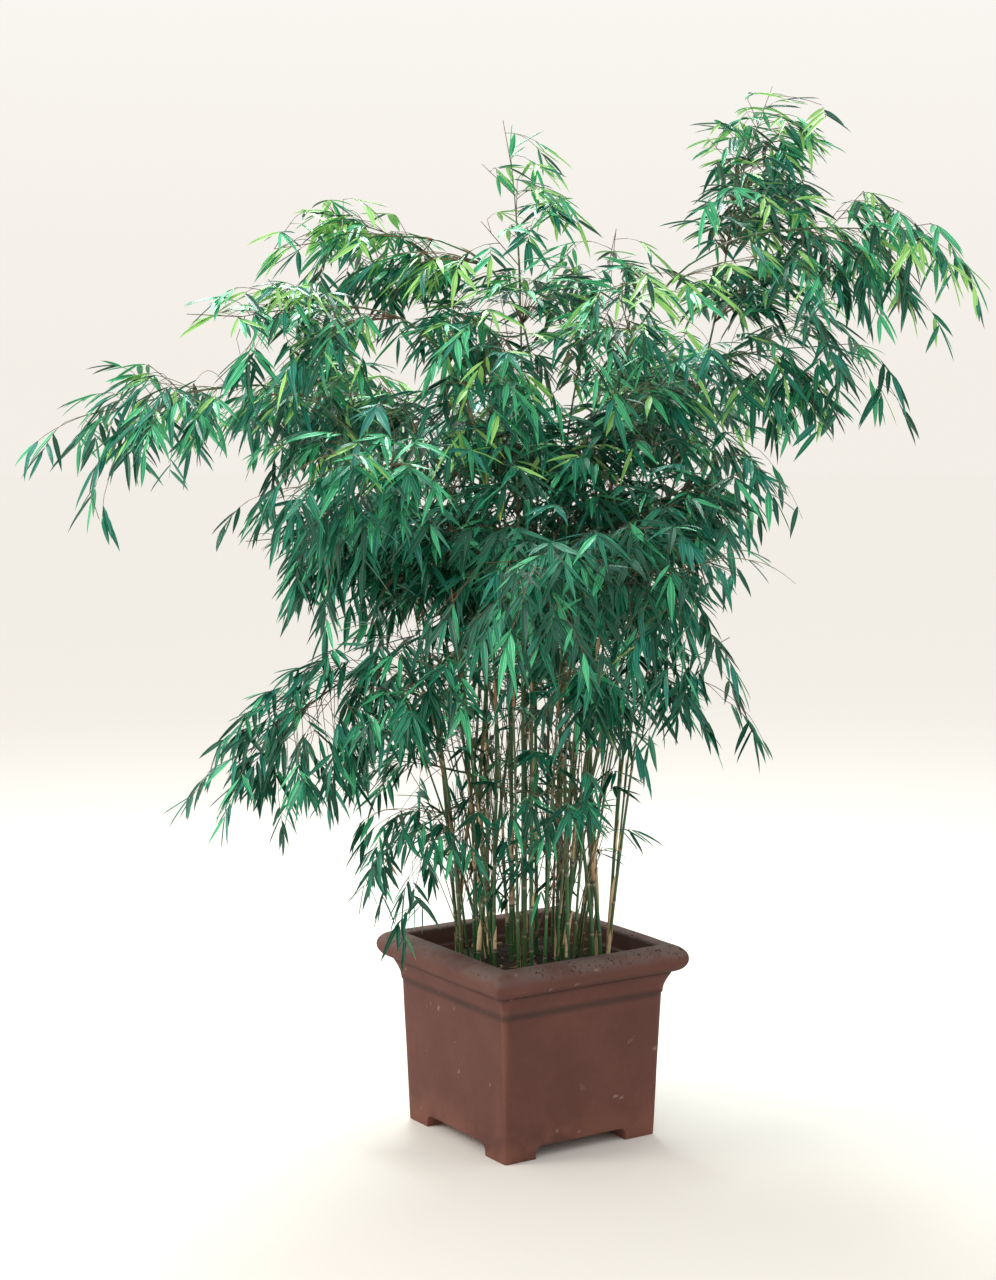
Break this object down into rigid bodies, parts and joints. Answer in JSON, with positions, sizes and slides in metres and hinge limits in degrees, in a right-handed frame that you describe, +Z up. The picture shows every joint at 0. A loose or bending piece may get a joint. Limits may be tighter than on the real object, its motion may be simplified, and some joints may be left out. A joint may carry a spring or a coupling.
{
  "type": "potted bamboo",
  "caption": "Tall clump-forming bamboo in a square fired-clay pot with a thick rolled rim, as a garden or patio plant.",
  "frame": {"origin": "centre of the plan bounding box of pot and crown together, on the ground under the pot's feet", "axes": "+Z up along the canes, the longest extent; X and Y along the sides of the square pot"},
  "size_m": [1.6046, 1.658, 2.0932],
  "materials": {
    "clay": "matte weathered fired clay",
    "soil": "damp potting soil",
    "cane": "smooth green bamboo cane with pale sheaths",
    "leaf": "satin bamboo leaf"
  },
  "bodies": {
    "root": {"pot": "clay", "soil": "soil", "cane_tall": "cane", "cane_right_arch": "cane", "cane_right_middle": "cane", "cane_right_low": "cane", "cane_right_short": "cane", "cane_spire": "cane", "cane_left_high": "cane", "cane_left_second": "cane", "cane_left_far": "cane", "cane_left_weeping": "cane", "cane_left_middle": "cane", "cane_left_low": "cane", "cane_front_left": "cane", "cane_front": "cane", "cane_front_right": "cane", "cane_back_right": "cane", "cane_back": "cane", "cane_back_left": "cane", "cane_middle": "cane", "cane_inner_1": "cane", "cane_inner_2": "cane", "cane_inner_3": "cane", "cane_inner_4": "cane", "cane_inner_5": "cane", "cane_inner_6": "cane", "cane_inner_7": "cane", "cane_inner_8": "cane", "leaves_tall_tip": "leaf", "leaves_tall_side": "leaf", "leaves_right_arch_tip": "leaf", "leaves_right_arch_side": "leaf", "leaves_right_middle_tip": "leaf", "leaves_right_low_tip": "leaf", "leaves_right_short_tip": "leaf", "leaves_spire_tip": "leaf", "leaves_left_high_tip": "leaf", "leaves_left_high_side": "leaf", "leaves_left_second_tip": "leaf", "leaves_left_second_side": "leaf", "leaves_left_far_tip": "leaf", "leaves_left_far_side": "leaf", "leaves_left_weeping_tip": "leaf", "leaves_left_weeping_side": "leaf", "leaves_left_middle_tip": "leaf", "leaves_left_middle_side": "leaf", "leaves_left_low_tip": "leaf", "leaves_front_left_tip": "leaf", "leaves_front_tip": "leaf", "leaves_front_side": "leaf", "leaves_front_right_tip": "leaf", "leaves_front_right_side": "leaf", "leaves_back_right_tip": "leaf", "leaves_back_right_side": "leaf", "leaves_back_tip": "leaf", "leaves_back_side": "leaf", "leaves_back_left_tip": "leaf", "leaves_back_left_side": "leaf", "leaves_middle_tip": "leaf"}
  },
  "joints": []
}
